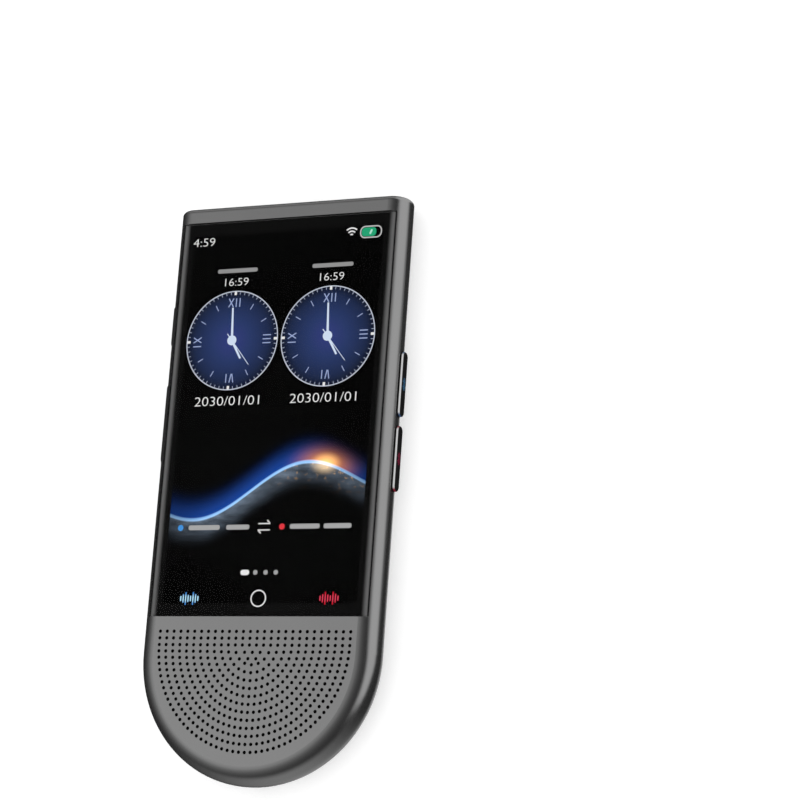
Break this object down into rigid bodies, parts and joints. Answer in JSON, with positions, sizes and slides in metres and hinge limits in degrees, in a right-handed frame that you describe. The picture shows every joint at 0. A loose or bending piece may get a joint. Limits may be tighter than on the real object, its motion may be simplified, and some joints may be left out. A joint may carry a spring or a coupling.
{
  "type": "handheld translator",
  "caption": "Slab-shaped handheld translator: touch screen, round-ended perforated speaker grille, side keys, rear cameras with flash and a lanyard eye.",
  "frame": {"origin": "bottom centre of the bounding box: on the surface the device lies on, screen up, below the middle of the body", "axes": "+X to the device's right seen from the front, +Y towards its flat top end, +Z out of the screen"},
  "size_m": [0.0616, 0.137, 0.0109],
  "materials": {
    "housing_paint": "satin gunmetal paint",
    "cover_paint": "satin gunmetal paint",
    "rim_metal": "turned, satin grey anodised",
    "screen_glass": "polished, rounded long edges",
    "camera_glass": "polished",
    "black_print": "black print on the back of the glass",
    "adhesive": "black foam tape",
    "foam": "closed-cell foam",
    "display": "lit liquid crystal panel",
    "backlight_white": "white light guide",
    "steel": "stamped",
    "flex": "polyimide",
    "mesh": "woven acoustic mesh",
    "black_plastic": "moulded",
    "diaphragm": "thermoformed film",
    "copper": "enamelled wire",
    "magnet": "nickel plated",
    "frame_metal": "die cast",
    "screw_steel": "black zinc",
    "board": "solder mask",
    "chip": "moulded package",
    "tinplate": "tin plated",
    "battery_wrap": "laminate pouch",
    "tray_metal": "satin, as the housing",
    "ring_metal": "turned bevel",
    "barrel_black": "blackened",
    "lens_glass": "blue coated",
    "led": "phosphor on white package",
    "flash_diffuser": "ribbed diffuser",
    "black_key": "satin black",
    "blue_key_metal": "black with a blue edge",
    "red_key_metal": "black with a red edge",
    "switch": "dome switch"
  },
  "bodies": {
    "body": {"antenna_cellular": "flex", "antenna_wifi": "flex", "back_cover": "cover_paint", "battery_adhesive": "adhesive", "battery_cell": "battery_wrap", "battery_protection": "flex", "camera_barrel_lower": "barrel_black", "camera_barrel_upper": "barrel_black", "camera_body_lower": "black_plastic", "camera_body_upper": "black_plastic", "camera_flexes": "flex", "camera_lens_lower": "lens_glass", "camera_lens_upper": "lens_glass", "camera_mask": "black_print", "camera_rim": "rim_metal", "camera_window": "camera_glass", "display_backlight": "backlight_white", "display_cell": "display", "display_flex": "flex", "display_tray": "steel", "flash_led": "led", "flash_lens": "flash_diffuser", "front_glass": "screen_glass", "front_housing": "housing_paint", "glass_adhesive": "adhesive", "grille_mesh": "mesh", "lens_rings": "ring_metal", "main_board": "board", "memory_chip": "chip", "microphone_boot": "adhesive", "microphone_bottom": "tinplate", "microphone_top": "tinplate", "mid_frame": "frame_metal", "pole_plate": "steel", "processor_chip": "chip", "processor_shield": "tinplate", "radio_chip": "chip", "radio_shield": "tinplate", "screws": "screw_steel", "sim_socket": "tinplate", "speaker_diaphragm": "diaphragm", "speaker_frame": "black_plastic", "speaker_gasket": "foam", "speaker_magnet": "magnet", "speaker_yoke": "steel", "switch_bracket_left": "steel", "switch_bracket_right": "steel", "tact_switches_left": "switch", "tact_switches_right": "switch", "usb_shell": "steel", "usb_tongue": "black_plastic", "vibration_motor": "tinplate", "voice_coil": "copper"},
    "power_key": {"power_key": "black_key"},
    "volume_key": {"volume_key": "black_key"},
    "blue_key": {"blue_key": "blue_key_metal"},
    "red_key": {"red_key": "red_key_metal"},
    "sim_tray": {"sim_tray": "tray_metal"}
  },
  "joints": [
    {"name": "power_key_press", "type": "slide", "parent": "body", "child": "power_key", "axis": [1, 0, 0], "range_m": [0, 0.0003], "stiffness_N_per_m": 3000},
    {"name": "volume_key_rock", "type": "hinge", "parent": "body", "child": "volume_key", "pos_m": [-0.0291, 0.0166, 0.0058], "axis": [0, 0, 1], "range_deg": [-2.4, 2.4], "stiffness_Nm_per_rad": 0.12},
    {"name": "blue_key_press", "type": "slide", "parent": "body", "child": "blue_key", "axis": [-1, 0, 0], "range_m": [0, 0.0003], "stiffness_N_per_m": 3000},
    {"name": "red_key_press", "type": "slide", "parent": "body", "child": "red_key", "axis": [-1, 0, 0], "range_m": [0, 0.0003], "stiffness_N_per_m": 3000},
    {"name": "sim_tray_pull", "type": "slide", "parent": "body", "child": "sim_tray", "axis": [0, 1, 0], "range_m": [0, 0.014]}
  ]
}
